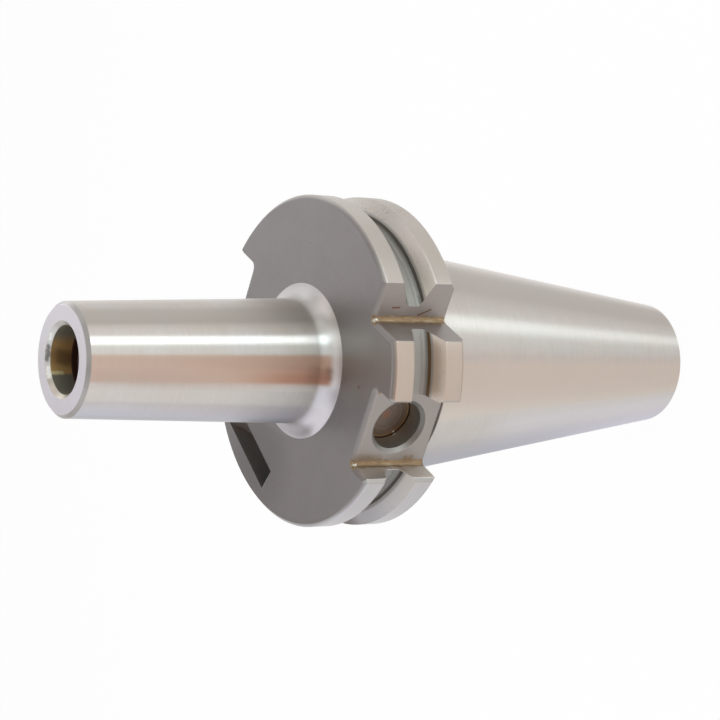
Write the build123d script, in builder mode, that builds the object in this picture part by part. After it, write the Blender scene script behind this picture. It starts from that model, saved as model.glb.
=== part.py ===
from build123d import *
import os
from math import radians, sin, sqrt, tan

# Screw-in cutter holder with a size 40 steep taper, in millimetres. One piece of hardened
# steel: turned, bored, milled, then ground. Z is the spindle axis, Z = 0 the gauge plane,
# the cutter end points up, and X runs out through the drive slot with the chip pocket.

# Steep taper
gauge_diameter = 44.45
taper_ratio = 7 / 24
taper_length = 68.4
small_end_chamfer = 1.0

# Grinding relief between the taper and the flange
relief_depth = 0.6
relief_length = 3.0

# Flange
flange_diameter = 63.55
flange_rear_height = 3.2
flange_thickness = 15.9
flange_edge_chamfer = 0.7

# Gripper groove, a V measured over two round pins
groove_height = 11.1
groove_angle = 60
groove_floor_width = 2.86
groove_corner_radius = 1.0
measuring_pin_diameter = 7.0
size_over_pins = 72.3

# Drive slots
drive_slot_width = 16.1
chip_slot_floor_distance = 25.0
plain_slot_floor_distance = 24.5
drive_slot_corner_radius = 1.0
drive_slot_mouth_bevel = 0.8
front_edge_chamfer = 0.7

# Orientation notch beside the chip slot
notch_wall_distance = 18.5
notch_floor_distance = 18.0
notch_corner_radius = 1.0

# Round pocket for a data chip, in the floor of the chip slot
chip_pocket_diameter = 10.0
chip_pocket_depth = 4.6
chip_pocket_chamfer = 0.7

# Balance pocket in the front face, sunk with a disc cutter
balance_pocket_direction = -106
balance_pocket_distance = 25.1
balance_pocket_shift = -0.9
balance_pocket_depth = 5.8
balance_cutter_diameter = 19.5
balance_cutter_width = 4.9

# Nose
nose_length = 50.0
nose_tip_diameter = 21.0
nose_base_diameter = 24.0
nose_base_fillet = 3.0
nose_tip_chamfer = 0.7

# Cutter seat: pilot bore, then an M12 thread drawn as a plain bore of its full diameter
cutter_thread_diameter = 12.0
cutter_thread_pitch = 1.75
cutter_thread_depth = 24.0
cutter_core_depth = 29.0
cutter_pilot_step = 0.25
cutter_pilot_depth = 5.0
cutter_mouth_chamfer = 0.75

# Pull stud seat: pilot bore, then an M16 thread drawn in the same way
stud_thread_diameter = 16.0
stud_thread_pitch = 2.0
stud_thread_depth = 32.0
stud_core_depth = 42.5
stud_pilot_step = 0.5
stud_pilot_depth = 8.2
stud_mouth_chamfer = 0.6

# Coolant channel that joins the two seats
coolant_channel_diameter = 6.0
drill_point_angle = 118

# Heights and radii that follow
flange_radius = flange_diameter / 2
flange_front_height = flange_rear_height + flange_thickness
nose_tip_height = flange_front_height + nose_length
tail_height = -taper_length
taper_small_radius = (gauge_diameter - taper_length * taper_ratio) / 2
relief_foot_height = flange_rear_height - relief_length
relief_foot_radius = (gauge_diameter + relief_foot_height * taper_ratio) / 2
relief_radius = gauge_diameter / 2 - relief_depth

# V groove: the pins' places and the flank angle give the point of the V
flank_slope = tan(radians(groove_angle / 2))
pin_to_point = measuring_pin_diameter / 2 / sin(radians(groove_angle / 2))
groove_point_radius = (size_over_pins - measuring_pin_diameter) / 2 - pin_to_point
groove_floor_radius = groove_point_radius + groove_floor_width / 2 / flank_slope
groove_run_out_radius = size_over_pins / 2
groove_run_out_half_width = (groove_run_out_radius - groove_point_radius) * flank_slope

# Drive slots: where each wall turns into the bevel, and where the bevel leaves the flange
half_slot = drive_slot_width / 2
bevel_start = sqrt(flange_radius**2 - half_slot**2) - drive_slot_mouth_bevel
bevel_end = half_slot + flange_radius - bevel_start

# Bores
cutter_thread_radius = cutter_thread_diameter / 2
cutter_pilot_radius = cutter_thread_radius + cutter_pilot_step
cutter_core_radius = (cutter_thread_diameter - cutter_thread_pitch) / 2
stud_thread_radius = stud_thread_diameter / 2
stud_pilot_radius = stud_thread_radius + stud_pilot_step
stud_core_radius = (stud_thread_diameter - stud_thread_pitch) / 2
coolant_radius = coolant_channel_diameter / 2
drill_point_slope = tan(radians(drill_point_angle / 2))
cutter_drill_point = (cutter_core_radius - coolant_radius) / drill_point_slope
stud_drill_point = (stud_core_radius - coolant_radius) / drill_point_slope

os.makedirs("parts", exist_ok=True)

with BuildPart() as holder_body:
    # Turned outline: taper, relief, flange and nose in one revolved section
    with BuildSketch(Plane.XZ) as turned_section:
        with BuildLine():
            Polyline(
                (0, tail_height),
                (taper_small_radius, tail_height),
                (relief_foot_radius, relief_foot_height),
                (relief_radius, relief_foot_height + relief_depth),
                (relief_radius, flange_rear_height),
                (flange_radius, flange_rear_height),
                (flange_radius, flange_front_height),
                (nose_base_diameter / 2, flange_front_height),
                (nose_tip_diameter / 2, nose_tip_height),
                (0, nose_tip_height),
                close=True,
            )
        make_face()
        tail_corner = turned_section.vertices().group_by(Axis.Y)[0].sort_by(Axis.X)[-1]
        chamfer(tail_corner, length=small_end_chamfer)
        tip_corner = turned_section.vertices().group_by(Axis.Y)[-1].sort_by(Axis.X)[-1]
        chamfer(tip_corner, length=nose_tip_chamfer)
        flange_corners = turned_section.vertices().group_by(Axis.X)[-1]
        chamfer(flange_corners, length=flange_edge_chamfer)
        nose_root = turned_section.vertices().sort_by_distance(
            (nose_base_diameter / 2, flange_front_height)
        )[0]
        fillet(nose_root, radius=nose_base_fillet)
    revolve(axis=Axis.Z)

    # Gripper groove: the V section runs out past the flange, up to the pins' outer edge
    groove_plane = Plane(origin=(0, 0, groove_height), x_dir=(1, 0, 0), z_dir=(0, -1, 0))
    with BuildSketch(groove_plane) as groove_section:
        with BuildLine():
            Polyline(
                (groove_floor_radius, -groove_floor_width / 2),
                (groove_run_out_radius, -groove_run_out_half_width),
                (groove_run_out_radius, groove_run_out_half_width),
                (groove_floor_radius, groove_floor_width / 2),
                close=True,
            )
        make_face()
        floor_corners = groove_section.vertices().group_by(Axis.X)[0]
        fillet(floor_corners, radius=groove_corner_radius)
    revolve(axis=Axis.Z, mode=Mode.SUBTRACT)

    # Drive slots, one on each side, with rounded floor corners and bevelled mouths
    with BuildSketch(Plane.XY.offset(flange_rear_height)) as drive_slots:
        for side, floor in ((1, chip_slot_floor_distance), (-1, plain_slot_floor_distance)):
            with BuildLine():
                Polyline(
                    (side * floor, -half_slot),
                    (side * bevel_start, -half_slot),
                    (side * flange_radius, -bevel_end),
                    (side * flange_radius, bevel_end),
                    (side * bevel_start, half_slot),
                    (side * floor, half_slot),
                    close=True,
                )
            make_face()
        floor_corners = drive_slots.vertices().sort_by(lambda corner: abs(corner.X))[:4]
        fillet(floor_corners, radius=drive_slot_corner_radius)
    extrude(amount=flange_thickness, mode=Mode.SUBTRACT)

    # Orientation notch: a square step milled beside the chip slot
    with BuildSketch(Plane.XY.offset(flange_rear_height)) as orientation_notch:
        with Locations((notch_floor_distance, notch_wall_distance)):
            Rectangle(flange_radius, flange_radius, align=Align.MIN)
        inner_corner = orientation_notch.vertices().sort_by_distance((0, 0))[0]
        fillet(inner_corner, radius=notch_corner_radius)
    extrude(amount=flange_thickness, mode=Mode.SUBTRACT)

    # Front edges of the slots and the notch: the same outlines, widening up to the face
    with BuildSketch(Plane.XY.offset(flange_front_height - front_edge_chamfer)):
        add(drive_slots.sketch_local)
        add(orientation_notch.sketch_local)
    extrude(amount=front_edge_chamfer, taper=-45, mode=Mode.SUBTRACT)

    # Chip pocket, level with the groove: a chamfered blind bore in the slot floor
    chip_pocket_radius = chip_pocket_diameter / 2
    with BuildSketch(groove_plane):
        with BuildLine():
            Polyline(
                (chip_slot_floor_distance, 0),
                (chip_slot_floor_distance, chip_pocket_radius + chip_pocket_chamfer),
                (chip_slot_floor_distance - chip_pocket_chamfer, chip_pocket_radius),
                (chip_slot_floor_distance - chip_pocket_depth, chip_pocket_radius),
                (chip_slot_floor_distance - chip_pocket_depth, 0),
                close=True,
            )
        make_face()
    revolve(axis=Axis((0, 0, groove_height), (1, 0, 0)), mode=Mode.SUBTRACT)

    # Balance pocket: the disc cutter sinks edge-on into the front face
    balance_cutter_height = (
        flange_front_height + balance_cutter_diameter / 2 - balance_pocket_depth
    )
    balance_plane = Plane.XZ.rotated((0, 0, balance_pocket_direction + 90))
    with BuildSketch(balance_plane.offset(balance_pocket_distance)):
        with Locations((balance_pocket_shift, balance_cutter_height)):
            Circle(balance_cutter_diameter / 2)
    extrude(amount=balance_cutter_width / 2, both=True, mode=Mode.SUBTRACT)

    # Bores: cutter seat, coolant channel and pull stud seat in one revolved section
    with BuildSketch(Plane.XZ):
        with BuildLine():
            Polyline(
                (0, nose_tip_height),
                (cutter_pilot_radius + cutter_mouth_chamfer, nose_tip_height),
                (cutter_pilot_radius, nose_tip_height - cutter_mouth_chamfer),
                (cutter_pilot_radius, nose_tip_height - cutter_pilot_depth),
                (cutter_thread_radius, nose_tip_height - cutter_pilot_depth),
                (cutter_thread_radius, nose_tip_height - cutter_thread_depth),
                (cutter_core_radius, nose_tip_height - cutter_thread_depth),
                (cutter_core_radius, nose_tip_height - cutter_core_depth),
                (coolant_radius, nose_tip_height - cutter_core_depth - cutter_drill_point),
                (coolant_radius, tail_height + stud_core_depth + stud_drill_point),
                (stud_core_radius, tail_height + stud_core_depth),
                (stud_core_radius, tail_height + stud_thread_depth),
                (stud_thread_radius, tail_height + stud_thread_depth),
                (stud_thread_radius, tail_height + stud_pilot_depth),
                (stud_pilot_radius, tail_height + stud_pilot_depth),
                (stud_pilot_radius, tail_height + stud_mouth_chamfer),
                (stud_pilot_radius + stud_mouth_chamfer, tail_height),
                (0, tail_height),
                close=True,
            )
        make_face()
    revolve(axis=Axis.Z, mode=Mode.SUBTRACT)

holder_body.part.label = "holder_body"
export_step(holder_body.part, "parts/holder_body.step")
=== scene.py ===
"""Looks of the screw-in cutter holder: one ground steel body in a plain white studio.

Row frame, in metres: Z is the spindle axis with the cutter end up, Z = 0 is the gauge
plane, and X runs out through the drive slot with the chip pocket. The looks count in
millimetres, and in degrees round the axis from X.
"""

from math import cos, pi, radians, sin, tan

import bpy
import numpy as np
from mathutils import Matrix, Vector


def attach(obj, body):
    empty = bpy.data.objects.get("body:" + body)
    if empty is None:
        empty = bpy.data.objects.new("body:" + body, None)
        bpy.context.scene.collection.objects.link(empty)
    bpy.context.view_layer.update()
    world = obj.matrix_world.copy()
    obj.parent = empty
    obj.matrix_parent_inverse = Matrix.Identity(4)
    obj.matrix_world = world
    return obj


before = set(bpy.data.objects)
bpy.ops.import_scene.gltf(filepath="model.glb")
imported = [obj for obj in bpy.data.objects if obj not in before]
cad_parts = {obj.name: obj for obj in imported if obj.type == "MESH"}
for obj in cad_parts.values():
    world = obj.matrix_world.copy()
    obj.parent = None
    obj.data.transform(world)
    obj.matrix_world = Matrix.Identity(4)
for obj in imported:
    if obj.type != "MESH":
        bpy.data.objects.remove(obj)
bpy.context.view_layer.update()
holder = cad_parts["holder_body"]
BODY = "root"
MM = 0.001

# Heights along the axis, in millimetres
TIP = 69.1
PILOT_END = TIP - 5.0
CUTTER_THREAD_END = TIP - 24.0
FACE = 19.1
GROOVE_HEIGHT = 11.1
REAR = 3.2
TAIL = -68.4
STUD_PILOT_END = TAIL + 8.2
STUD_THREAD_END = TAIL + 32.0

# Threads
CUTTER_THREAD_RADIUS = 6.0
CUTTER_THREAD_PITCH = 1.75
STUD_THREAD_RADIUS = 8.0
STUD_THREAD_PITCH = 2.0

# Radii and distances from the axis
NOSE_ROOT = 15.0
WIDEST_BORE = 9.3
FLANGE_RADIUS = 31.775
GROOVE_FLOOR_RADIUS = 28.13
CHIP_FLOOR = 25.0
POCKET_FLOOR = 20.4
HALF_SLOT = 8.05
NOTCH_X, NOTCH_Y = 18.0, 18.5

# Small sizes
EDGE = 0.7  # chamfers on the flange, the slots, the notch and the tip
TAIL_CHAMFER = 1.0
GROOVE_FLOOR_HALF = 1.43
POCKET_MOUTH = 5.7

# Directions, in degrees round the axis from X
UP = 119  # the photograph's upward side of the holder
BALANCE_DIRECTION = radians(-106)

# Camera, found by laying the part's edges over the photograph
LENS = 103.389
SENSOR = 36.0
AXIS_LEAN = radians(56.145)
ROLL = radians(-0.266)
TURN = radians(-29.2)
OFFSET = Vector((4.297, -0.222, -406.265)) * MM
CAMERA_SIDE = 29.3  # the side that the camera stands on, in degrees from X


def make_camera():
    """The camera, placed by the holder's lean, roll and turn as the camera sees them."""
    axis = Vector((-sin(AXIS_LEAN) * cos(ROLL), -sin(AXIS_LEAN) * sin(ROLL), cos(AXIS_LEAN)))
    across = Vector((0, 1, 0)).cross(axis).normalized()
    beside = axis.cross(across)
    x_row = cos(TURN) * across + sin(TURN) * beside
    y_row = -sin(TURN) * across + cos(TURN) * beside
    row_to_camera = Matrix((x_row, y_row, axis)).transposed().to_4x4()
    row_to_camera.translation = OFFSET
    data = bpy.data.cameras.new("camera")
    data.sensor_width = SENSOR
    data.lens = LENS
    data.clip_start = 0.01
    data.clip_end = 100.0
    camera = bpy.data.objects.new("camera", data)
    bpy.context.scene.collection.objects.link(camera)
    camera.matrix_world = row_to_camera.inverted()
    bpy.context.scene.camera = camera


make_camera()


class Look:
    """A material's node tree, with a short call for each kind of node.

    A mask is a number that is 1 where something lies on the surface and 0 elsewhere.
    """

    def __init__(self, name):
        self.material = bpy.data.materials.new(name)
        self.material.use_nodes = True
        self.tree = self.material.node_tree
        self.shader = self.tree.nodes["Principled BSDF"]
        place = self.tree.nodes.new("ShaderNodeTexCoord").outputs["Object"]
        to_mm = self.node("ShaderNodeVectorMath", {"operation": "SCALE"}, Scale=1 / MM)
        self.put(to_mm.inputs[0], place)
        self.place = to_mm.outputs[0]
        parts = self.node("ShaderNodeSeparateXYZ", Vector=self.place)
        self.x, self.y, self.z = parts.outputs
        self.r = self.hyp(self.x, self.y)

    def put(self, socket, value):
        """Links a node's output to the socket, or sets the socket to a number or colour."""
        if isinstance(value, bpy.types.NodeSocket):
            self.tree.links.new(value, socket)
        elif socket.type == "RGBA":
            socket.default_value = (*value, 1.0)
        else:
            socket.default_value = value

    def node(self, kind, settings=None, **inputs):
        """A new node, with its settings, and its inputs by name."""
        n = self.tree.nodes.new(kind)
        for name, value in (settings or {}).items():
            setattr(n, name, value)
        for name, value in inputs.items():
            self.put(n.inputs[name], value)
        return n

    def math(self, operation, first, *others):
        """One operation on two values, or on each further value in turn."""
        result = first
        for value in others:
            n = self.node("ShaderNodeMath", {"operation": operation})
            self.put(n.inputs[0], result)
            self.put(n.inputs[1], value)
            result = n.outputs[0]
        return result

    def add(self, *values):
        return self.math("ADD", *values)

    def sub(self, a, b):
        return self.math("SUBTRACT", a, b)

    def mul(self, *values):
        return self.math("MULTIPLY", *values)

    def most(self, *values):
        return self.math("MAXIMUM", *values)

    def least(self, *values):
        return self.math("MINIMUM", *values)

    def size(self, a):
        return self.math("ABSOLUTE", a, 0.0)

    def hyp(self, a, b):
        return self.math("SQRT", self.add(self.mul(a, a), self.mul(b, b)), 0.0)

    def weigh(self, *pairs, base):
        """The sum of values, each times its weight, and of a base."""
        return self.add(*(self.mul(value, weight) for value, weight in pairs), base)

    def vector(self, x, y, z):
        return self.node("ShaderNodeCombineXYZ", X=x, Y=y, Z=z).outputs[0]

    def step(self, value, low, high, out_low=0.0, out_high=1.0):
        """Smooth step of value from low to high, between out_low and out_high."""
        n = self.node("ShaderNodeMapRange", {"interpolation_type": "SMOOTHSTEP"})
        for socket, v in zip(n.inputs, (value, low, high, out_low, out_high)):
            self.put(socket, v)
        return n.outputs[0]

    def near(self, distance, full, gone):
        """Mask that is 1 where distance is below full, and falls to 0 at gone."""
        return self.step(distance, full, gone, 1.0, 0.0)

    def from_point(self, x, y, z):
        """Distance from a point of the part."""
        n = self.node("ShaderNodeVectorMath", {"operation": "DISTANCE"})
        self.put(n.inputs[0], self.place)
        n.inputs[1].default_value = (x, y, z)
        return n.outputs["Value"]

    def from_line(self, a, b):
        """Distance from the straight line between two points of the part."""
        a, b = Vector(a), Vector(b)
        along = (b - a).normalized()
        apart = self.node("ShaderNodeVectorMath", {"operation": "SUBTRACT"})
        self.put(apart.inputs[0], self.place)
        apart.inputs[1].default_value = a
        dot = self.node("ShaderNodeVectorMath", {"operation": "DOT_PRODUCT"})
        self.put(dot.inputs[0], apart.outputs[0])
        dot.inputs[1].default_value = along
        reach = self.least(self.most(dot.outputs["Value"], 0.0), (b - a).length)
        spot = self.node("ShaderNodeVectorMath", {"operation": "SCALE"}, Scale=reach)
        spot.inputs[0].default_value = along
        gap = self.node("ShaderNodeVectorMath", {"operation": "DISTANCE"})
        self.put(gap.inputs[0], apart.outputs[0])
        self.put(gap.inputs[1], spot.outputs[0])
        return gap.outputs["Value"]

    def noise(self, scale, detail=2.0, rough=0.5, place=None):
        """Noise over the surface, with scale waves to a millimetre."""
        vector = self.place if place is None else place
        inputs = {"Vector": vector, "Scale": scale, "Detail": detail, "Roughness": rough}
        return self.node("ShaderNodeTexNoise", **inputs).outputs["Fac"]

    def drawn_noise(self, across, along, detail=2.0, rough=0.5):
        """Noise drawn out along the axis: waves to a millimetre across and along it."""
        x, y = self.mul(self.x, across), self.mul(self.y, across)
        return self.noise(1.0, detail, rough, self.vector(x, y, self.mul(self.z, along)))

    def lathe_lines(self, per_mm):
        """Noise drawn out round the axis, as turning or grinding leaves it."""
        slow = 0.08
        across = self.mul(self.add(self.z, self.r), per_mm)
        round_axis = self.vector(self.mul(self.x, slow), self.mul(self.y, slow), across)
        return self.noise(1.0, 3.0, 0.6, round_axis)

    def towards(self, azimuth):
        """How far a place lies from the axis towards an azimuth."""
        c, s = cos(radians(azimuth)), sin(radians(azimuth))
        return self.add(self.mul(self.x, c), self.mul(self.y, s))

    def facing(self, azimuth, full, gone):
        """Mask of the side that faces an azimuth; full and gone are sines of the angle to it."""
        across = self.size(self.towards(azimuth + 90))
        sine = self.math("DIVIDE", across, self.most(self.r, 0.01))
        behind = self.near(self.towards(azimuth), -0.5, 0.5)
        return self.near(self.most(sine, behind), full, gone)

    def mix(self, a, b, factor, blend="MIX"):
        """From a where factor is 0 to b where it is 1."""
        n = self.node("ShaderNodeMix", {"data_type": "RGBA", "blend_type": blend})
        self.put(n.inputs[0], factor)
        self.put(n.inputs[6], a)
        self.put(n.inputs[7], b)
        return n.outputs[2]

    def tint(self, colour, other, strength, *masks):
        """colour mixed with another one, up to a strength where all the masks are 1."""
        return self.mix(colour, other, self.mul(*masks, strength))

    def lighten(self, colour, factor):
        """colour times factor, which is a number that varies over the surface."""
        grey = self.vector(factor, factor, factor)
        return self.mix(colour, grey, 1.0, "MULTIPLY")

    def soft_edges(self, radius):
        """Normals that run smoothly over the edges, as on deburred steel."""
        return self.node("ShaderNodeBevel", {"samples": 6}, Radius=radius * MM).outputs[0]

    def bump(self, height, distance, normal=None):
        n = self.node("ShaderNodeBump", Height=height, Distance=distance * MM)
        if normal is not None:
            self.put(n.inputs["Normal"], normal)
        return n.outputs[0]

    def finish(self, colour, roughness, normal, metallic=1.0):
        self.put(self.shader.inputs["Base Color"], colour)
        self.put(self.shader.inputs["Roughness"], roughness)
        self.put(self.shader.inputs["Normal"], normal)
        self.put(self.shader.inputs["Metallic"], metallic)
        return self.material

    def stretch_highlights(self):
        """Draws the highlights out as lines round the axis do, by a quarter turn."""
        tangent = self.node("ShaderNodeTangent", {"direction_type": "RADIAL", "axis": "Z"})
        self.put(self.shader.inputs["Tangent"], tangent.outputs[0])
        self.put(self.shader.inputs["Anisotropic"], 1.0)
        self.put(self.shader.inputs["Anisotropic Rotation"], 0.25)


# Colours that more than one look uses
SATIN_STEEL = (0.265, 0.245, 0.237)
RUST_RED = (0.16, 0.06, 0.03)
DIRT_BROWN = (0.19, 0.135, 0.10)
PATCH_BROWN = (0.22, 0.18, 0.18)
RIDGE_HIGHLIGHT = (0.72, 0.69, 0.63)
GLINT_WHITE = (0.93, 0.92, 0.86)

# Ground steel of the nose and the taper, and its painted reflections and shade
NOSE_STEEL = (0.55, 0.50, 0.455)
TAPER_STEEL = (0.615, 0.565, 0.52)
PALE_STEEL = (0.60, 0.575, 0.565)
RELIEF_DARK = (0.13, 0.115, 0.10)
ROOT_LOWER_REFLECTION = (0.67, 0.635, 0.66)
ROOT_UPPER_REFLECTION = (0.63, 0.595, 0.56)
ROOT_TOP_SHADE = (0.545, 0.52, 0.495)
NOSE_STRAW_REFLECTION = (0.535, 0.41, 0.33)
NOSE_COPPER_REFLECTION = (0.44, 0.235, 0.165)
NOSE_LILAC_REFLECTION = (0.44, 0.43, 0.475)
NOSE_UPPER_SHADE = (0.45, 0.415, 0.375)
NOSE_BROWNER_NEAR_TIP = (0.42, 0.365, 0.335)
ROOT_SPOT = (0.19, 0.14, 0.12)
ROOT_BROWN = (0.30, 0.21, 0.17)
TAPER_TAN_REFLECTION = (0.675, 0.60, 0.53)
TAPER_PALE_LIGHT = (0.68, 0.645, 0.65)
TAPER_FAR_HIGHLIGHT = (0.76, 0.715, 0.685)
TAPER_UPPER_SHADE = (0.53, 0.485, 0.445)
LILAC_REFLECTION_AT_TAIL = (0.62, 0.60, 0.68)
LILAC_SHADE_AT_FLANGE = (0.36, 0.365, 0.415)


def ground_look():
    """Taper, nose, root fillet and relief: ground, with fine lines round the axis, and with
    painted reflections and shade.
    """
    g = Look("ground_steel_round")
    g.stretch_highlights()
    lines = g.lathe_lines(5.0)
    bands = g.lathe_lines(1.2)
    clouds = g.noise(0.09, 3.0)
    mottle = g.noise(0.45, 4.0, 0.65)
    grain = g.noise(2.6, 3.0, 0.6)
    on_taper = g.near(g.z, 0.0, 0.5)
    on_nose = g.step(g.z, FACE + 2.0, FACE + 4.0)
    on_root = g.mul(g.step(g.z, FACE - 1.0, FACE - 0.5), g.near(g.z, FACE + 2.2, FACE + 3.3))
    in_relief = g.mul(g.step(g.z, 0.1, 0.4), g.near(g.z, 3.0, 4.0))
    colour = g.mix(NOSE_STEEL, TAPER_STEEL, g.near(g.z, 0.5, 1.5))
    colour = g.tint(colour, PALE_STEEL, 0.4, g.step(clouds, 0.4, 0.7))
    # The relief channel is darker
    colour = g.tint(colour, RELIEF_DARK, 0.9, in_relief)
    tone = g.weigh((lines, 0.10), (bands, 0.13), (mottle, 0.10), (grain, 0.08), base=0.795)
    colour = g.lighten(colour, tone)
    # Painted reflection makes the root fillet brighter, and painted shade makes it duller at its
    # top
    root = g.mix(ROOT_LOWER_REFLECTION, ROOT_UPPER_REFLECTION, g.step(g.towards(UP), -8.0, 4.0))
    root = g.mix(root, ROOT_TOP_SHADE, g.step(g.towards(UP), 10.5, 13.5))
    colour = g.mix(colour, root, on_root)
    # Painted reflection of the warm band: straw on the side of the nose that faces the chip slot,
    # copper low down near the root
    straw_reflection = g.mul(
        g.step(g.z, FACE + 0.4, FACE + 1.4),
        g.step(g.z, FACE + 6.0, FACE + 45.0, 0.9, 0.5),
        g.facing(21, 0.19, 0.27),
    )
    colour = g.mix(colour, NOSE_STRAW_REFLECTION, straw_reflection)
    copper_reflection = g.mul(g.facing(9, 0.06, 0.3), g.near(g.z, FACE + 8.0, FACE + 23.0))
    colour = g.tint(colour, NOSE_COPPER_REFLECTION, 0.8, copper_reflection, straw_reflection)
    # A dark brown spot on the root fillet, in a paler patch
    uneven = g.mul(g.sub(g.noise(0.5), 0.5), 1.2)
    spot = g.add(g.from_line((12.5, 4.2, 20.8), (12.7, 3.2, 20.7)), uneven)
    colour = g.tint(colour, ROOT_SPOT, 0.8, g.near(spot, 0.1, 1.6))
    patch = g.add(g.from_point(12.0, 3.0, 22.5), uneven)
    colour = g.tint(colour, ROOT_BROWN, 0.45, g.near(patch, 0.5, 3.5))
    # Painted reflection makes the taper tan towards the chip slot, painted light makes it paler
    # beside that, and a painted highlight lies along its upper side
    colour = g.tint(colour, TAPER_TAN_REFLECTION, 0.8, g.facing(14, 0.2, 0.32), on_taper)
    colour = g.tint(colour, TAPER_PALE_LIGHT, 0.8, g.facing(-20, 0.15, 0.4), g.near(g.z, -25.0, -10.0))
    colour = g.tint(colour, TAPER_FAR_HIGHLIGHT, 0.85, g.facing(118, 0.25, 0.55), on_taper)
    # Painted reflection makes taper and nose lilac below, turning to painted shade towards the
    # flange, painted shade makes them duller above, and the nose is browner near its tip
    lower_side = g.facing(-62, 0.3, 0.9)
    lilac_reflection = g.mix(LILAC_REFLECTION_AT_TAIL, LILAC_SHADE_AT_FLANGE, g.step(g.z, -65.0, -15.0))
    colour = g.tint(colour, lilac_reflection, 0.85, lower_side, on_taper)
    colour = g.tint(colour, NOSE_LILAC_REFLECTION, 0.8, lower_side, on_nose)
    colour = g.tint(colour, TAPER_UPPER_SHADE, 0.8, g.facing(76, 0.1, 0.33), on_taper)
    colour = g.tint(colour, NOSE_UPPER_SHADE, 0.85, g.facing(74, 0.12, 0.32), on_nose)
    colour = g.tint(colour, NOSE_BROWNER_NEAR_TIP, 0.35, g.facing(0, 0.22, 0.42), g.step(g.z, 35.0, 60.0))
    rough = g.weigh(
        (lines, 0.05), (clouds, 0.04), (on_taper, 0.06), (on_root, 0.045), base=0.265
    )
    return g.finish(colour, rough, g.bump(lines, 0.0006))


END_LOWER_LIT = (0.61, 0.575, 0.605)
END_UPPER = (0.56, 0.538, 0.553)
END_CHAMFER_SHADE = (0.40, 0.38, 0.36)


def end_look():
    """Flat ground ends of the nose and the taper, painted lighter on their lower side, with
    chamfers round them darkened by painted shade.
    """
    g = Look("ground_steel_ends")
    clouds = g.noise(0.25, 3.0)
    grain = g.noise(3.0, 3.0, 0.6)
    flat = g.most(g.step(g.z, TIP - 0.1, TIP - 0.03), g.near(g.z, TAIL + 0.03, TAIL + 0.1))
    # Painted light on the lower side of the flat ends
    face = g.mix(END_LOWER_LIT, END_UPPER, g.step(g.towards(UP), -8.0, 0.0))
    colour = g.mix(END_CHAMFER_SHADE, face, flat)
    colour = g.lighten(colour, g.weigh((clouds, 0.08), (grain, 0.05), base=0.935))
    rough = g.weigh((clouds, 0.06), base=0.33)
    return g.finish(colour, rough, g.bump(grain, 0.0006))


def crowded_specks(g):
    """Mask of fine specks of dirt that lie close together."""
    return g.step(g.noise(3.2, 3.0, 0.7), 0.54, 0.62)


def brown_patch_far_down(g):
    """Mask of the dark brown patch far down on the rear rim and on the flank beside it."""
    return g.near(g.from_point(14.5, -27.9, 7.2), 1.0, 6.5)


RIM_STEEL = (0.52, 0.475, 0.435)
RIM_STRAW = (0.525, 0.435, 0.365)
RIM_LILAC_REFLECTION = (0.50, 0.48, 0.485)
FRONT_RIM_DULL = (0.44, 0.405, 0.365)
REAR_RIM_SHADE = (0.46, 0.425, 0.37)
REAR_RIM_LIGHT = (0.82, 0.78, 0.72)
REAR_RIM_DIRTY = (0.44, 0.395, 0.345)


def rim_look():
    """The flange's two rims: ground like the taper, with edges rubbed soft."""
    g = Look("ground_steel_rim")
    lines = g.lathe_lines(5.0)
    clouds = g.noise(0.15, 3.0)
    on_edge = g.step(g.z, FACE - EDGE - 0.1, FACE)
    on_rear = g.near(g.z, 9.0, 10.0)
    # Straw on the tooth between the slot and the notch, and painted lilac reflection on the far
    # lower side
    beside_slot = g.mul(g.step(g.y, 6.0, 9.0), g.near(g.y, 18.0, 19.0))
    on_tooth = g.mul(g.step(g.x, 20.0, 22.0), beside_slot)
    colour = g.tint(RIM_STEEL, RIM_STRAW, 0.9, on_tooth)
    colour = g.mix(colour, RIM_LILAC_REFLECTION, g.facing(-62, 0.6, 1.0))
    # Duller on the front rim above the notch
    colour = g.tint(colour, FRONT_RIM_DULL, 0.6, g.near(g.from_point(10.0, 30.0, 15.5), 2.0, 10.0))
    colour = g.tint(colour, PATCH_BROWN, 0.85, brown_patch_far_down(g))
    # Painted shade makes the rear rim duller above and painted light makes it paler towards the
    # notch, with a painted highlight along its edge to the flank
    colour = g.tint(colour, REAR_RIM_SHADE, 0.55, g.facing(70, 0.1, 0.3), on_rear)
    colour = g.tint(colour, REAR_RIM_LIGHT, 0.5, g.facing(45, 0.05, 0.25), on_rear)
    ridge = g.mul(g.facing(57, 0.15, 0.3), g.step(g.z, 7.2, 7.5))
    colour = g.tint(colour, RIDGE_HIGHLIGHT, 0.4, ridge, on_rear)
    # Fine brown dirt on the rear rim, as on the groove's flank beside it
    dirty = g.mul(g.near(g.from_point(-6.0, 31.0, 5.5), 2.0, 13.0), on_rear)
    colour = g.tint(colour, REAR_RIM_DIRTY, 0.6, dirty)
    colour = g.tint(colour, DIRT_BROWN, 0.45, dirty, crowded_specks(g))
    colour = g.mix(colour, SATIN_STEEL, on_edge)
    colour = g.lighten(colour, g.weigh((lines, 0.06), (clouds, 0.10), base=0.91))
    rough = g.weigh((lines, 0.05), (clouds, 0.05), base=0.30)
    return g.finish(colour, rough, g.bump(lines, 0.0006, g.soft_edges(0.5)))


DARK_SATIN = (0.24, 0.223, 0.213)
FACE_LIT = (0.36, 0.345, 0.335)
FACE_SHADED = (0.17, 0.155, 0.15)
FACE_RUBBED = (0.32, 0.31, 0.30)


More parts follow.
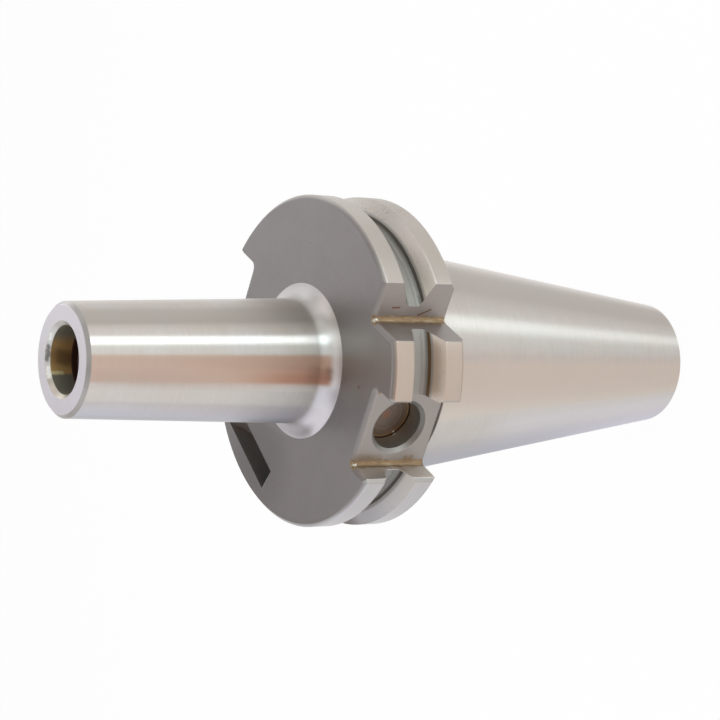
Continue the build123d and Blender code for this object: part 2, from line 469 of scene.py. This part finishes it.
def satin_look():
    """Flange faces: fine-turned and left dark by the heat treatment."""
    g = Look("satin_steel_face")
    rings = g.lathe_lines(3.0)
    clouds = g.noise(0.16, 4.0, 0.6)
    grain = g.noise(2.6, 3.0, 0.6)
    colour = g.mix(SATIN_STEEL, DARK_SATIN, g.step(clouds, 0.3, 0.7))
    tone = g.weigh((rings, 0.08), (clouds, 0.24), (grain, 0.16), base=0.76)
    colour = g.lighten(colour, tone)
    # Painted light makes the face paler beside the nose's root, and painted shade makes it darker
    # on its lower side, towards the balance pocket
    pale = g.near(g.from_line((16.0, 9.5, FACE), (23.5, 13.5, FACE)), 2.0, 10.0)
    colour = g.mix(colour, FACE_LIT, g.mul(pale, g.step(g.x, 18.0, 22.0, 0.8, 0.55)))
    dark = g.near(g.from_point(-4.0, -23.0, FACE), 3.0, 15.0)
    colour = g.tint(colour, FACE_SHADED, 0.6, dark)
    # Small marks: a pale rub below the nose, and a few specks of rust
    rub = g.near(g.from_line((-3.8, -15.8, FACE), (2.2, -14.6, FACE)), 0.2, 1.5)
    colour = g.tint(colour, FACE_RUBBED, 0.22, rub)
    specks = g.step(g.noise(1.9), 0.70, 0.76)
    spot = g.near(g.from_point(20.1, 5.7, FACE), 0.2, 0.5)
    colour = g.tint(colour, RUST_RED, 0.5, g.most(specks, spot))
    rough = g.weigh((clouds, 0.08), (grain, 0.06), base=0.37)
    height = g.add(rings, g.mul(grain, 0.5))
    return g.finish(colour, rough, g.bump(height, 0.002, g.soft_edges(0.45)))


MILLED_STEEL = (0.34, 0.305, 0.285)
MILLED_WARM = (0.32, 0.288, 0.27)
BEVEL_STEEL = (0.45, 0.44, 0.42)
LOWER_WALL_LIGHT = (0.72, 0.69, 0.64)
GOLD = (0.29, 0.195, 0.092)
GOLD_STREAKS = (0.45, 0.36, 0.23)
GOLD_FRINGE = (0.22, 0.15, 0.08)
GOLD_DARK = (0.17, 0.10, 0.05)
GOLD_BRIGHT = (0.55, 0.44, 0.27)
CREPT_RUST = (0.22, 0.15, 0.09)
SMEARED_RUST = (0.21, 0.14, 0.08)
SPOT_RUST = (0.25, 0.17, 0.09)


def milled_look():
    """Drive slots and notch: milled, with a golden line of rust in each inner corner."""
    g = Look("milled_steel")
    marks = g.drawn_noise(4.0, 0.5, 3.0, 0.6)
    clouds = g.noise(0.2, 4.0, 0.6)
    grain = g.noise(3.0, 3.0, 0.6)
    colour = g.mix(MILLED_STEEL, MILLED_WARM, clouds)
    # The front chamfers run from this colour into that of the face
    colour = g.mix(colour, SATIN_STEEL, g.step(g.z, FACE - EDGE, FACE))
    bevel = g.step(g.r, FLANGE_RADIUS - 1.0, FLANGE_RADIUS - 0.75)
    colour = g.tint(colour, BEVEL_STEEL, 0.8, bevel, g.near(g.size(g.y), 10.2, 10.6))
    # Painted light makes the slot's lower wall bright
    lower_wall_light = g.mul(
        g.near(g.size(g.add(g.y, HALF_SLOT)), 0.03, 0.1),
        g.step(g.x, CHIP_FLOOR, CHIP_FLOOR + 1.0),
        g.step(g.z, FACE - EDGE - 0.1, FACE - EDGE, 0.95, 0.25),
    )
    colour = g.mix(colour, LOWER_WALL_LIGHT, lower_wall_light)
    tone = g.weigh((marks, 0.08), (clouds, 0.14), (grain, 0.06), base=0.86)
    colour = g.lighten(colour, tone)
    # Rust fills the rounded inner corners, in streaks and patches along them
    slot_corner = g.hyp(g.sub(g.x, CHIP_FLOOR), g.add(g.y, HALF_SLOT))
    notch_corner = g.hyp(g.sub(g.x, NOTCH_X), g.sub(g.y, NOTCH_Y))
    corner = g.least(slot_corner, notch_corner)
    creep = g.mul(g.sub(g.noise(0.8, 3.0, 0.6), 0.5), 0.9)
    streaks = g.drawn_noise(5.0, 0.35)
    patches = g.drawn_noise(1.3, 0.5, 4.0, 0.65)
    fringe = g.mul(g.step(corner, 0.8, 1.1), g.step(clouds, 0.3, 0.6, 0.1, 0.8))
    gold = g.mix(GOLD, GOLD_STREAKS, g.step(streaks, 0.50, 0.72))
    gold = g.mix(gold, GOLD_FRINGE, fringe)
    gold = g.tint(gold, GOLD_DARK, 0.55, g.step(patches, 0.46, 0.62))
    gold = g.tint(gold, GOLD_BRIGHT, 0.5, g.near(patches, 0.34, 0.44))
    colour = g.tint(colour, gold, 0.85, g.near(g.add(corner, creep), 0.75, 1.25))
    crept = g.mul(g.near(corner, 0.9, 3.2), g.step(g.noise(0.3, 3.0), 0.5, 0.75))
    colour = g.tint(colour, CREPT_RUST, 0.45, crept)
    smear = g.near(g.from_line((CHIP_FLOOR, -6.7, 18.2), (CHIP_FLOOR, -6.9, 13.5)), 0.2, 1.5)
    colour = g.mix(colour, SMEARED_RUST, g.mul(smear, g.step(grain, 0.3, 0.7, 0.25, 0.75)))
    # Two strokes of rust on the notch's wall, and rings of it beside the slot's corners
    strokes = g.least(
        g.from_line((NOTCH_X, 21.15, 15.5), (NOTCH_X, 21.2, 14.0)),
        g.from_line((NOTCH_X, 19.7, 9.4), (NOTCH_X, 20.9, 6.9)),
    )
    spots = g.least(
        g.from_point(CHIP_FLOOR, 7.5, 17.9),
        g.from_point(CHIP_FLOOR, -6.6, 6.1),
        g.from_point(CHIP_FLOOR, -6.7, 7.4),
    )
    spot_radius = 0.28
    rings = g.near(g.size(g.sub(spots, spot_radius)), 0.1, 0.32)
    colour = g.tint(colour, RUST_RED, 0.75, g.near(strokes, 0.08, 0.26))
    colour = g.tint(colour, SPOT_RUST, 0.6, rings)
    # Burrs at the ends of the corners, painted as bright glints
    burr_glints = g.least(
        g.from_point(NOTCH_X, NOTCH_Y, FACE - EDGE),
        g.from_point(NOTCH_X, NOTCH_Y, REAR),
        g.from_point(CHIP_FLOOR, -HALF_SLOT, FACE - EDGE),
    )
    torn = g.mul(g.sub(grain, 0.5), 1.4)
    colour = g.tint(colour, GLINT_WHITE, 0.8, g.near(g.add(burr_glints, torn), 0.10, 0.60))
    rough = g.weigh((clouds, 0.10), (grain, 0.05), base=0.36)
    height = g.add(marks, g.mul(grain, 0.6))
    return g.finish(colour, rough, g.bump(height, 0.003, g.soft_edges(0.45)))


GROOVE_STEEL = (0.315, 0.305, 0.285)
FLANK_STEEL = (0.55, 0.51, 0.465)
FLANK_STRAW = (0.53, 0.445, 0.375)
FLANK_LILAC_REFLECTION = (0.54, 0.525, 0.54)
FLANK_DIRTY = (0.42, 0.37, 0.32)
FLANK_LIGHT = (0.66, 0.62, 0.56)
SOOT_AND_SHADE = (0.15, 0.14, 0.125)
DIRT_AND_SHADE_BLACK = (0.105, 0.09, 0.077)
DIRT_GOLD = (0.15, 0.085, 0.035)


def groove_look():
    """Gripper groove: turned satin, with a line of dark dirt and painted shade where its rear
    flank starts.
    """
    g = Look("groove_steel")
    lines = g.lathe_lines(4.0)
    clouds = g.noise(0.18, 4.0, 0.6)
    grain = g.noise(3.0, 3.0, 0.6)
    # The floor's dull finish runs a little way up the rear flank
    rear_side = g.near(g.z, GROOVE_HEIGHT - 0.1, GROOVE_HEIGHT + 0.1)
    rise = g.sub(g.r, g.mul(rear_side, 0.75))
    on_flank = g.step(rise, GROOVE_FLOOR_RADIUS + 0.4, GROOVE_FLOOR_RADIUS + 0.9)
    on_tooth = g.mul(g.step(g.x, 20.0, 21.0), g.step(g.y, 7.0, 9.0))
    flank = g.tint(FLANK_STEEL, FLANK_STRAW, 0.9, on_tooth)
    # Painted lilac reflection on the lower side
    flank = g.mix(flank, FLANK_LILAC_REFLECTION, g.facing(-62, 0.3, 0.8))
    tone = g.weigh((lines, 0.06), (clouds, 0.12), base=0.90)
    colour = g.lighten(g.mix(GROOVE_STEEL, flank, on_flank), tone)
    # Brown specks, crowded far up on the rear flank, and the dark brown patch far down
    from_dirt = g.from_point(-6.0, 29.5, 8.3)
    few = g.step(g.noise(2.4), 0.66, 0.74)
    many = g.mul(g.near(from_dirt, 1.0, 11.0), crowded_specks(g))
    colour = g.tint(colour, DIRT_BROWN, 0.55, g.most(few, many))
    colour = g.tint(colour, FLANK_DIRTY, 0.25, g.near(from_dirt, 2.0, 14.0))
    colour = g.tint(colour, PATCH_BROWN, 0.85, brown_patch_far_down(g))
    # Painted light makes it paler towards the notch, and a painted highlight runs along the edge
    # that the flank makes with the rim
    colour = g.tint(colour, FLANK_LIGHT, 0.5, g.facing(48, 0.1, 0.3), on_flank)
    at_rim = g.step(g.r, FLANGE_RADIUS - 0.4, FLANGE_RADIUS)
    colour = g.tint(colour, RIDGE_HIGHLIGHT, 0.4, g.facing(57, 0.15, 0.3), at_rim)
    # The line of dirt and painted shade lies a little nearer to the floor on the lower side, and
    # soot with painted shade spreads from it over the floor
    lower_side = g.facing(-48, 0.3, 0.7)
    line_height = g.add(GROOVE_HEIGHT - GROOVE_FLOOR_HALF - 0.43, g.mul(lower_side, 0.08))
    line_radius = g.sub(GROOVE_FLOOR_RADIUS + 0.74, g.mul(lower_side, 0.14))
    from_line = g.hyp(g.sub(g.z, line_height), g.sub(g.r, line_radius))
    uneven = g.add(from_line, g.mul(g.sub(clouds, 0.5), 0.3))
    on_floor = g.near(g.r, GROOVE_FLOOR_RADIUS + 0.4, GROOVE_FLOOR_RADIUS + 0.8)
    soot_and_shade = g.mul(g.near(uneven, 0.5, 1.9), on_floor)
    colour = g.tint(colour, SOOT_AND_SHADE, 0.6, soot_and_shade)
    # Golden dirt on the tooth between the slot and the notch, near black dirt and painted shade
    # elsewhere
    dirt_and_shade = g.near(uneven, 0.22, 0.38)
    colour = g.tint(colour, g.tint(DIRT_AND_SHADE_BLACK, DIRT_GOLD, 0.9, on_tooth), 0.95, dirt_and_shade)
    rough = g.add(g.weigh((clouds, 0.08), base=0.36), g.mul(g.most(dirt_and_shade, soot_and_shade), 0.2))
    height = g.add(lines, g.mul(grain, 0.4))
    return g.finish(colour, rough, g.bump(height, 0.002))


POCKET_SCALE = (0.30, 0.29, 0.28)
POCKET_BROWN = (0.33, 0.285, 0.26)


def balance_look():
    """Balance pocket: rough scale left from the heat treatment, browner in clouds."""
    g = Look("scaled_pocket_steel")
    clouds = g.noise(0.35, 4.0, 0.6)
    grain = g.noise(3.0, 3.0, 0.6)
    colour = g.mix(POCKET_SCALE, POCKET_BROWN, g.step(clouds, 0.4, 0.7))
    colour = g.lighten(colour, g.weigh((grain, 0.3), base=0.85))
    rough = g.weigh((clouds, 0.15), base=0.42)
    return g.finish(colour, rough, g.bump(grain, 0.004, g.soft_edges(0.2)))


CHIP_WALL_GREEN = (0.50, 0.52, 0.50)
CHIP_WALL_WARM = (0.40, 0.395, 0.37)
CHIP_CHAMFER = (0.33, 0.315, 0.295)
CHIP_CHAMFER_SHADED = (0.23, 0.215, 0.20)
RING_DARK = (0.155, 0.115, 0.092)
RING_PALE = (0.24, 0.20, 0.175)
RING_CENTRE = (0.27, 0.12, 0.075)
RING_RIM = (0.21, 0.14, 0.09)
GLUE = (0.50, 0.28, 0.11)
GAP_BLACK = (0.10, 0.07, 0.05)


def chip_look():
    """Chip pocket: bored, with fine turning rings and a line of dried glue on its floor."""
    g = Look("chip_pocket_steel")
    reach = g.hyp(g.y, g.sub(g.z, GROOVE_HEIGHT))
    clouds = g.noise(0.5, 4.0, 0.6)
    grain = g.noise(3.0, 3.0, 0.6)
    # Rings on the floor, stronger and weaker by turns, and reddish in the middle
    ring_pitch = 0.5
    glue_radius = 4.6
    uneven = g.noise(1.0, 3.0, 0.7, g.vector(g.mul(reach, 1.8), 0.0, 0.0))
    waves = g.add(g.math("SINE", g.mul(reach, 2 * pi / ring_pitch), 0.0), 1.0)
    rings = g.mul(waves, g.mul(g.step(uneven, 0.35, 0.75), 0.75))
    floor = g.mix(RING_DARK, RING_PALE, rings)
    floor = g.tint(floor, RING_CENTRE, 0.75, g.near(reach, 0.2, 1.2))
    floor = g.tint(floor, RING_RIM, 0.6, g.step(reach, 2.4, 4.2))
    floor = g.tint(floor, GLUE, 0.7, g.near(g.size(g.sub(reach, glue_radius)), 0.04, 0.16))
    floor = g.mix(floor, GAP_BLACK, g.step(reach, glue_radius + 0.05, glue_radius + 0.25))
    on_floor = g.near(g.x, POCKET_FLOOR + 0.1, POCKET_FLOOR + 0.3)
    colour = g.mix(g.mix(CHIP_WALL_GREEN, CHIP_WALL_WARM, clouds), floor, on_floor)
    # The chamfer round the mouth is darker towards the tail
    on_chamfer = g.step(g.x, CHIP_FLOOR - 0.74, CHIP_FLOOR - 0.68)
    tail_side = g.near(g.z, GROOVE_HEIGHT - 4.5, GROOVE_HEIGHT - 1.0)
    colour = g.mix(colour, g.mix(CHIP_CHAMFER, CHIP_CHAMFER_SHADED, tail_side), on_chamfer)
    colour = g.lighten(colour, g.weigh((grain, 0.25), base=0.87))
    # A painted glint in the pocket's corner
    glint = g.near(g.from_point(POCKET_FLOOR, -3.76, 8.31), 0.12, 0.26)
    colour = g.mix(colour, GLINT_WHITE, glint)
    rough = g.weigh((clouds, 0.12), base=0.42)
    height = g.add(g.mul(rings, on_floor), g.mul(grain, 0.3))
    return g.finish(colour, rough, g.bump(height, 0.012))


PILOT_STEEL = (0.30, 0.285, 0.225)
PILOT_GOLD = (0.66, 0.42, 0.17)
OIL_DARK = (0.20, 0.115, 0.05)
OIL_DROP_REFLECTION = (1.0, 0.86, 0.48)
BORE_SHADE_BLACK = (0.085, 0.035, 0.028)
MOUTH_STEEL = (0.60, 0.59, 0.56)
MOUTH_WARM = (0.52, 0.47, 0.40)
MOUTH_DARK_REFLECTION = (0.13, 0.125, 0.12)


def bore_look():
    """Bores: steel under oil, golden brown in the pilots, and painted reddish black shade further
    in.
    """
    g = Look("oiled_bore_steel")
    lines = g.lathe_lines(3.0)
    clouds = g.noise(0.3, 4.0, 0.6)
    # The oil has run to one side
    up = g.towards(UP)
    golden = g.mul(g.step(up, -2.9, -2.3), g.near(up, 2.5, 5.0))
    pilot = g.mix(PILOT_STEEL, PILOT_GOLD, g.mul(golden, g.step(clouds, 0.1, 0.5)))
    thick = g.near(g.size(g.sub(g.add(up, g.mul(clouds, 1.5)), 1.2)), 0.4, 2.2)
    pilot = g.mix(pilot, OIL_DARK, g.mul(thick, g.step(g.z, 66.5, 68.3, 0.75, 0.2)))
    # A drop of oil in the pilot, painted with its bright golden reflection
    drop_reflection = g.near(g.from_line((-3.9, -4.85, 68.2), (-3.9, -4.85, 66.2)), 0.1, 0.6)
    pilot = g.mix(pilot, OIL_DROP_REFLECTION, drop_reflection)
    # Painted shade turns the bores reddish black past their pilots
    past_stud_pilot = g.step(g.z, TAIL + 7.5, TAIL + 10.0)
    past_pilot = g.near(g.z, PILOT_END + 0.03, PILOT_END + 0.15)
    colour = g.mix(pilot, BORE_SHADE_BLACK, g.least(past_stud_pilot, past_pilot))
    # The chamfered mouths are bright, with a painted dark reflection and painted glints on the oil
    # at the nose's mouth
    at_mouth = g.most(
        g.step(g.z, TIP - 0.78, TIP - 0.72), g.near(g.z, TAIL + 0.62, TAIL + 0.68)
    )
    mouth = g.mix(MOUTH_STEEL, MOUTH_WARM, g.near(up, -4.0, -1.0))
    jagged = g.mul(g.sub(g.noise(1.6), 0.5), 0.9)
    dark_reflection_streak = g.add(g.from_line((-6.5, -0.9, 68.8), (-5.9, -3.1, 68.8)), jagged)
    mouth = g.tint(mouth, MOUTH_DARK_REFLECTION, 0.8, g.near(dark_reflection_streak, 0.1, 0.75))
    glints = g.least(
        g.from_line((-5.0, -4.4, 68.7), (-3.7, -5.5, 68.7)),
        g.add(g.from_line((-6.5, 1.6, 68.8), (-6.6, 0.6, 68.8)), 0.2),
    )
    mouth = g.tint(mouth, GLINT_WHITE, 0.8, g.near(g.add(glints, jagged), 0.1, 0.7))
    colour = g.mix(colour, mouth, at_mouth)
    colour = g.lighten(colour, g.weigh((lines, 0.2), base=0.9))
    rough = g.add(g.mul(clouds, 0.12), g.step(at_mouth, 0.0, 1.0, 0.42, 0.30))
    metallic = g.step(at_mouth, 0.0, 1.0, 0.6, 1.0)
    return g.finish(colour, rough, g.bump(lines, 0.0008), metallic)


LOOKS = [
    ground_look(),
    end_look(),
    rim_look(),
    satin_look(),
    milled_look(),
    groove_look(),
    balance_look(),
    chip_look(),
    bore_look(),
]
GROUND, END, RIM, SATIN, MILLED, GROOVE, BALANCE, CHIP, BORE = range(len(LOOKS))


def paint_holder():
    """Gives each face of the CAD body the finish of the surface that it lies on."""
    hair, close = 0.003, 0.01
    mesh = holder.data
    count = len(mesh.polygons)
    centre, normal = np.empty(count * 3), np.empty(count * 3)
    mesh.polygons.foreach_get("center", centre)
    mesh.polygons.foreach_get("normal", normal)
    x, y, z = (centre.reshape(-1, 3) / MM).T
    nx, ny, nz = normal.reshape(-1, 3).T
    r = np.hypot(x, y)
    finish = np.full(count, GROUND)
    finish[(z > TIP - EDGE) | (z < TAIL + TAIL_CHAMFER)] = END
    flange = (z > REAR - hair) & (z < FACE + hair) & (r > NOSE_ROOT)
    level = np.abs(nz) > 0.99
    on_face = (np.abs(z - FACE) < hair) | (np.abs(z - REAR) < hair)
    finish[flange & level & on_face] = SATIN
    side = flange & ~level
    turned = np.abs(x * ny - y * nx) < 0.03 * r
    finish[side] = MILLED
    finish[side & turned & (r > FLANGE_RADIUS - EDGE - close)] = RIM
    # The groove is whatever lies within its V, apart from the flat walls that it cuts
    flank_slope = tan(radians(30))
    half_width = GROOVE_FLOOR_HALF + (r - GROOVE_FLOOR_RADIUS) * flank_slope
    in_groove = np.abs(z - GROOVE_HEIGHT) < half_width + 0.1
    in_groove &= (r > GROOVE_FLOOR_RADIUS - 0.1) & (r < FLANGE_RADIUS - 0.05)
    on_wall = (np.abs(np.abs(y) - HALF_SLOT) < close) | (np.abs(x - NOTCH_X) < close)
    on_wall |= np.abs(y - NOTCH_Y) < close
    finish[side & in_groove & ~on_wall] = GROOVE
    # The balance pocket lies in a block along and across its direction
    near_wall, far_wall = 22.6, 27.6
    half_length, below = 11, 13
    along = x * cos(BALANCE_DIRECTION) + y * sin(BALANCE_DIRECTION)
    across = -x * sin(BALANCE_DIRECTION) + y * cos(BALANCE_DIRECTION)
    sunk = (along > near_wall) & (along < far_wall) & (np.abs(across) < half_length)
    sunk &= (z > below) & (z < FACE - 0.005)
    finish[sunk] = BALANCE
    in_pocket = np.hypot(y, z - GROOVE_HEIGHT) < POCKET_MOUTH + 0.02
    finish[(x > POCKET_FLOOR - close) & (x < CHIP_FLOOR - 0.001) & in_pocket] = CHIP
    finish[(r < WIDEST_BORE) & (z < TIP - 0.005) & (z > TAIL + 0.005)] = BORE
    mesh.materials.clear()
    for look in LOOKS:
        mesh.materials.append(look)
    mesh.polygons.foreach_set("material_index", finish.astype(np.int32))
    mesh.update()


paint_holder()

# Turns of the two threads, as ridges inside the plain bores
STEPS_PER_TURN = 72
RIDGE_HEIGHT = 0.5413  # 5/8 of a full 60 degree triangle, for a pitch of 1
BASE_HALF = 0.44  # half the ridge's width at the wall, for a pitch of 1
BASE_HALF_AT_ENDS = 0.06  # what is left of that where the ridge fades out
CREST_HALF = 0.125  # half its width at the crest, for a pitch of 1
SINK = 0.03  # depth of the ridge's foot in the wall


def make_thread(name, radius, pitch, low, high, gap):
    """Turns of an internal right-hand thread, as one ridge wound on a bore's wall.

    radius is the bore's, low and high are the heights of its ends, and the ridge stops a
    gap short of both, in mm. It grows and fades over its end turns.
    """
    start, end = low + gap, high - gap
    height = RIDGE_HEIGHT * pitch
    count = int((end - start) / pitch * STEPS_PER_TURN)
    foot = radius + SINK
    corners = []
    for i in range(count + 1):
        angle = 2 * pi * i / STEPS_PER_TURN
        middle = start + (end - start) * i / count
        grown = min(1.0, i / STEPS_PER_TURN, (count - i) / STEPS_PER_TURN)
        crest = radius - height * max(grown, 0.02)
        width = max(grown, 0.05)
        base_half = pitch * (BASE_HALF_AT_ENDS + (BASE_HALF - BASE_HALF_AT_ENDS) * width)
        crest_half = pitch * CREST_HALF * width
        for r, z in (
            (foot, middle - base_half),
            (crest, middle - crest_half),
            (crest, middle + crest_half),
            (foot, middle + base_half),
        ):
            corners.append((r * cos(angle) * MM, r * sin(angle) * MM, z * MM))
    faces = [(3, 2, 1, 0)]
    for i in range(count):
        a, b = 4 * i, 4 * i + 4
        for k in range(4):
            n = (k + 1) % 4
            faces.append((a + k, a + n, b + n, b + k))
    last = 4 * count
    faces.append((last, last + 1, last + 2, last + 3))
    mesh = bpy.data.meshes.new(name)
    mesh.from_pydata(corners, [], faces)
    mesh.update()
    mesh.materials.append(LOOKS[BORE])
    ridge = bpy.data.objects.new(name, mesh)
    bpy.context.scene.collection.objects.link(ridge)
    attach(ridge, BODY)


make_thread(
    "cutter_thread_turns",
    CUTTER_THREAD_RADIUS,
    CUTTER_THREAD_PITCH,
    CUTTER_THREAD_END,
    PILOT_END,
    gap=0.9,
)
make_thread(
    "stud_thread_turns",
    STUD_THREAD_RADIUS,
    STUD_THREAD_PITCH,
    STUD_PILOT_END,
    STUD_THREAD_END,
    gap=1.0,
)


def make_floor():
    """Plain white floor under the tail. The camera and the metal see it white, and it keeps
    a share of its shading, with the object's shadow."""
    half = 20.0
    height = TAIL * MM - 0.00002
    white_share = 0.97
    mesh = bpy.data.meshes.new("floor")
    corners = [(x * half, y * half, height) for x, y in ((-1, -1), (1, -1), (1, 1), (-1, 1))]
    mesh.from_pydata(corners, [], [(0, 1, 2, 3)])
    floor = bpy.data.objects.new("floor", mesh)
    bpy.context.scene.collection.objects.link(floor)
    material = bpy.data.materials.new("floor")
    material.use_nodes = True
    tree = material.node_tree
    tree.nodes.remove(tree.nodes["Principled BSDF"])
    diffuse = tree.nodes.new("ShaderNodeBsdfDiffuse")
    diffuse.inputs["Color"].default_value = (0.9, 0.9, 0.9, 1)
    white = tree.nodes.new("ShaderNodeEmission")
    path = tree.nodes.new("ShaderNodeLightPath")
    seen = path.outputs["Is Camera Ray"]
    for name in ("Is Glossy Ray", "Is Transmission Ray"):
        most = tree.nodes.new("ShaderNodeMath")
        most.operation = "MAXIMUM"
        tree.links.new(seen, most.inputs[0])
        tree.links.new(path.outputs[name], most.inputs[1])
        seen = most.outputs[0]
    share = tree.nodes.new("ShaderNodeMath")
    share.operation = "MULTIPLY"
    tree.links.new(seen, share.inputs[0])
    share.inputs[1].default_value = white_share
    mix = tree.nodes.new("ShaderNodeMixShader")
    tree.links.new(share.outputs[0], mix.inputs[0])
    tree.links.new(diffuse.outputs[0], mix.inputs[1])
    tree.links.new(white.outputs[0], mix.inputs[2])
    tree.links.new(mix.outputs[0], tree.nodes["Material Output"].inputs["Surface"])
    mesh.materials.append(material)


def make_world():
    """White at the horizon, like the studio's cove, and dim above it."""
    white = (1.0, 1.0, 1.0, 1)
    dim = (0.16, 0.14, 0.12, 1)
    white_below = sin(radians(10))
    dim_above = sin(radians(20))
    world = bpy.data.worlds.new("studio")
    bpy.context.scene.world = world
    world.use_nodes = True
    tree = world.node_tree
    background = tree.nodes["Background"]
    place = tree.nodes.new("ShaderNodeTexCoord")
    parts = tree.nodes.new("ShaderNodeSeparateXYZ")
    tree.links.new(place.outputs["Generated"], parts.inputs[0])
    height = tree.nodes.new("ShaderNodeMapRange")
    height.interpolation_type = "SMOOTHSTEP"
    tree.links.new(parts.outputs["Z"], height.inputs["Value"])
    height.inputs["From Min"].default_value = white_below
    height.inputs["From Max"].default_value = dim_above
    tint = tree.nodes.new("ShaderNodeMix")
    tint.data_type = "RGBA"
    tree.links.new(height.outputs[0], tint.inputs[0])
    tint.inputs[6].default_value = white
    tint.inputs[7].default_value = dim
    tree.links.new(tint.outputs[2], background.inputs["Color"])


def make_lamp(name, width, height, colour, strength, place, aim):
    """Area lamp of width by height metres, as bright as strength times white."""
    light = bpy.data.lights.new(name, "AREA")
    light.shape = "RECTANGLE"
    light.size = width
    light.size_y = height
    light.color = colour
    light.energy = pi * light.size * light.size_y * strength
    lamp = bpy.data.objects.new(name, light)
    bpy.context.scene.collection.objects.link(lamp)
    lamp.location = place
    lamp.rotation_mode = "QUATERNION"
    lamp.rotation_quaternion = aim.to_track_quat("-Z", "Y")
    lamp.visible_camera = False


def softbox(name, start, end, low, high, colour, strength):
    """Upright softbox 0.3 m from the spindle axis, between two bearings in degrees from the
    camera's side; low and high are its edges above the floor, in metres."""
    radius = 0.30
    azimuth = radians(CAMERA_SIDE + (start + end) / 2)
    width = 2 * radius * tan(radians(end - start) / 2)
    inward = Vector((-cos(azimuth), -sin(azimuth), 0))
    place = -radius * inward + Vector((0, 0, TAIL * MM + (low + high) / 2))
    make_lamp(name, width, high - low, colour, strength, place, inward)


def overhead(name, bearing, out, height, side, colour, strength):
    """Square softbox aimed at the part from above, out metres from the spindle axis."""
    azimuth = radians(CAMERA_SIDE + bearing)
    place = Vector((out * cos(azimuth), out * sin(azimuth), height))
    make_lamp(name, side, side, colour, strength, place, -place)


def make_lamps():
    """The strip gives the long highlight on the nose and the taper, the warm card deepens
    the nose's copper band, and the others fill the metal with plain soft light."""
    softbox("bright_strip", 28, 43, 0.0, 0.30, (0.76, 0.94, 1.0), 3.2)
    softbox("bright_strip_foot", 31, 41, 0.0, 0.10, (0.9, 0.97, 1.0), 2.5)
    softbox("panel_before_strip", 9, 28, 0.0, 0.30, (0.78, 0.96, 1.0), 0.80)
    softbox("panel_after_strip", 43, 68, 0.0, 0.30, (0.93, 0.98, 1.0), 0.55)
    softbox("panel_over_strip", 9, 68, 0.30, 0.60, (0.85, 0.92, 1.0), 0.70)
    softbox("warm_card", -43, 9, 0.0, 0.30, (1.0, 0.42, 0.20), 0.37)
    softbox("panel_over_warm_card", -43, 9, 0.30, 0.60, (1.0, 1.0, 1.0), 0.45)
    softbox("low_side", -84, -43, 0.0, 0.60, (0.84, 0.93, 1.0), 0.78)
    softbox("cool_side_low", -130, -84, 0.0, 0.12, (0.35, 0.55, 1.0), 0.32)
    softbox("cool_side", -130, -84, 0.12, 0.60, (0.93, 0.95, 1.0), 0.78)
    softbox("back_low_side", -180, -130, 0.30, 0.60, (0.93, 0.95, 1.0), 1.2)
    softbox("high_side", 68, 125, 0.12, 0.30, (0.90, 0.96, 1.0), 0.42)
    softbox("back_high_side", 125, 180, 0.12, 0.30, (0.90, 0.94, 1.0), 1.0)
    softbox("back_high_side_top", 95, 180, 0.30, 0.60, (0.96, 0.95, 1.0), 0.93)
    overhead("top_box", 0, 0.0, 0.6, 0.4, (0.93, 0.97, 1.0), 1.4)
    overhead("high_side_top_box", 90, 0.3, 0.55, 0.4, (1.0, 1.0, 1.0), 0.52)
    overhead("low_side_top_box", -90, 0.3, 0.55, 0.4, (0.95, 0.97, 1.0), 0.3)


bpy.context.scene.view_settings.view_transform = "Standard"
make_floor()
make_world()
make_lamps()
